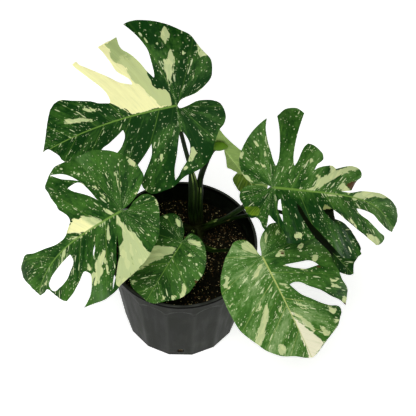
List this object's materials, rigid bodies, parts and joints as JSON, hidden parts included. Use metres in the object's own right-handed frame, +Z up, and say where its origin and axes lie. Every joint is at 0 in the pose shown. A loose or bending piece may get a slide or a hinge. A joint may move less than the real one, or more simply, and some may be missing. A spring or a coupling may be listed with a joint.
{
  "type": "potted variegated monstera",
  "caption": "Split-leaved monstera with cream-speckled blades on arching stalks, growing in a round black nursery pot.",
  "frame": {"origin": "middle of the pot's flat underside", "axes": "+Z up, -Y towards the front of the plant, +X to its right as seen from the front"},
  "size_m": [0.5791, 0.4194, 0.5025],
  "materials": {
    "pot_plastic": "black injection-moulded polypropylene, satin, with a fine moulded texture",
    "potting_mix": "dark damp peat and bark with pale grains",
    "stalk": "smooth mid-green skin, faintly ribbed along its length",
    "blade": "glossy dark green skin with cream sectors and fine cream speckles, paler below"
  },
  "bodies": {
    "root": {"pot": "pot_plastic", "soil": "potting_mix", "stems": "stalk", "leaf_back": "blade", "leaf_left": "blade", "leaf_small": "blade", "leaf_right": "blade", "leaf_front": "blade", "leaf_shaded": "blade", "leaf_hanging": "blade"}
  },
  "joints": []
}
